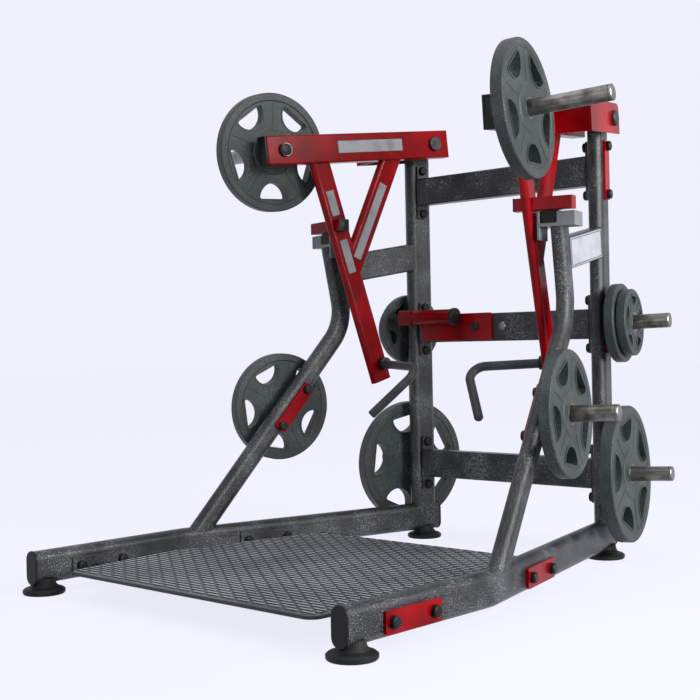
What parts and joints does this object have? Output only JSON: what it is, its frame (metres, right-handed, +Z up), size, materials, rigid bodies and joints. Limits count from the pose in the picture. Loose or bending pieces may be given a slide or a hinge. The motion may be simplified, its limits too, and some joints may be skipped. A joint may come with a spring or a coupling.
{
  "type": "plate loaded standing lever machine",
  "caption": "Standing lever machine: tread platform in an open floor frame, rear uprights and bent braces, independent weight-loaded arms with hooked handles, plates on storage horns.",
  "frame": {"origin": "on the floor under the middle of the machine's bounding box", "axes": "+X to the machine's own right-hand lever arm as seen from behind it, -Y towards the open front where the user steps on, +Z up"},
  "size_m": [1.585, 1.8086, 1.6028],
  "materials": {
    "frame_black": "hammertone, semi-gloss",
    "red_paint": "gloss powder coat",
    "plate_iron": "hammertone paint",
    "horn_steel": "brushed plating",
    "dark_steel": "blackened",
    "handle_grey": "matt",
    "tread_grey": "worn, raised dashes",
    "light_steel": "satin grey",
    "panel_grey": "blank panel",
    "black_plastic": "moulded",
    "black_rubber": "moulded",
    "bronze": "plain bearing bronze"
  },
  "bodies": {
    "frame": {"bearing_housing_left": "frame_black", "bearing_housing_right": "frame_black", "brace_horn_left": "horn_steel", "brace_horn_right": "horn_steel", "brace_left": "frame_black", "brace_right": "frame_black", "clamp_plates": "red_paint", "cross_beam_lower": "frame_black", "cross_beam_middle": "frame_black", "cross_beam_upper": "frame_black", "end_caps": "black_plastic", "frame_bolts": "black_plastic", "frame_flanges": "frame_black", "lower_horn_left": "horn_steel", "lower_horn_right": "horn_steel", "peg_bar": "red_paint", "peg_bracket": "red_paint", "pivot_bushes": "bronze", "platform_supports": "frame_black", "platform_tread": "tread_grey", "rail_bolts": "black_plastic", "rail_left": "frame_black", "rail_right": "frame_black", "rubber_feet": "black_rubber", "side_panels": "panel_grey", "side_tie_left": "frame_black", "side_tie_right": "frame_black", "stop_brackets": "light_steel", "stop_pads": "black_rubber", "storage_flanges": "red_paint", "upper_horn_left": "horn_steel", "upper_horn_right": "horn_steel", "upright_left": "frame_black", "upright_right": "frame_black"},
    "arm_left": {"arm_beam_left": "red_paint", "front_strut_left": "red_paint", "rear_strut_left": "red_paint", "pivot_box_left": "red_paint", "stop_bar_left": "red_paint", "arm_horn_left": "horn_steel", "arm_handle_left": "handle_grey", "pivot_shaft_left": "dark_steel"},
    "arm_plate_left": {"arm_plate_left": "plate_iron"},
    "brace_plate_left": {"brace_plate_left": "plate_iron"},
    "lower_plate_left": {"lower_plate_left": "plate_iron"},
    "upper_plate_inner_left": {"upper_plate_inner_left": "plate_iron"},
    "upper_plate_outer_left": {"upper_plate_outer_left": "plate_iron"},
    "arm_right": {"arm_beam_right": "red_paint", "front_strut_right": "red_paint", "rear_strut_right": "red_paint", "pivot_box_right": "red_paint", "stop_bar_right": "red_paint", "arm_horn_right": "horn_steel", "arm_handle_right": "handle_grey", "pivot_shaft_right": "dark_steel"},
    "arm_plate_right": {"arm_plate_right": "plate_iron"},
    "brace_plate_right": {"brace_plate_right": "plate_iron"},
    "lower_plate_right": {"lower_plate_right": "plate_iron"},
    "upper_plate_inner_right": {"upper_plate_inner_right": "plate_iron"},
    "upper_plate_outer_right": {"upper_plate_outer_right": "plate_iron"}
  },
  "joints": [
    {"name": "arm_right_pivot", "type": "hinge", "parent": "frame", "child": "arm_right", "pos_m": [0.3904, 0.66358, 1.461], "axis": [-0.9711, -0.2385, 0], "range_deg": [0, 50]},
    {"name": "arm_plate_right_slide", "type": "slide", "parent": "arm_right", "child": "arm_plate_right", "axis": [0.9705, 0.231, 0.0694], "range_m": [0, 0.24]},
    {"name": "brace_plate_right_slide", "type": "slide", "parent": "frame", "child": "brace_plate_right", "axis": [0.9705, 0.2384, 0.0349], "range_m": [0, 0.135]},
    {"name": "lower_plate_right_slide", "type": "slide", "parent": "frame", "child": "lower_plate_right", "axis": [0.9705, 0.2384, 0.0349], "range_m": [0, 0.13]},
    {"name": "upper_plate_inner_right_slide", "type": "slide", "parent": "frame", "child": "upper_plate_inner_right", "axis": [0.9705, 0.2384, 0.0349], "range_m": [0, 0.05]},
    {"name": "upper_plate_outer_right_slide", "type": "slide", "parent": "upper_plate_inner_right", "child": "upper_plate_outer_right", "axis": [0.9705, 0.2384, 0.0349], "range_m": [0, 0.06]},
    {"name": "arm_left_pivot", "type": "hinge", "parent": "frame", "child": "arm_left", "pos_m": [-0.3904, 0.66358, 1.461], "axis": [-0.9711, 0.2385, 0], "range_deg": [0, 50]},
    {"name": "arm_plate_left_slide", "type": "slide", "parent": "arm_left", "child": "arm_plate_left", "axis": [-0.9705, 0.231, 0.0694], "range_m": [0, 0.24]},
    {"name": "brace_plate_left_slide", "type": "slide", "parent": "frame", "child": "brace_plate_left", "axis": [-0.9705, 0.2384, 0.0349], "range_m": [0, 0.135]},
    {"name": "lower_plate_left_slide", "type": "slide", "parent": "frame", "child": "lower_plate_left", "axis": [-0.9705, 0.2384, 0.0349], "range_m": [0, 0.13]},
    {"name": "upper_plate_inner_left_slide", "type": "slide", "parent": "frame", "child": "upper_plate_inner_left", "axis": [-0.9705, 0.2384, 0.0349], "range_m": [0, 0.05]},
    {"name": "upper_plate_outer_left_slide", "type": "slide", "parent": "upper_plate_inner_left", "child": "upper_plate_outer_left", "axis": [-0.9705, 0.2384, 0.0349], "range_m": [0, 0.06]}
  ]
}
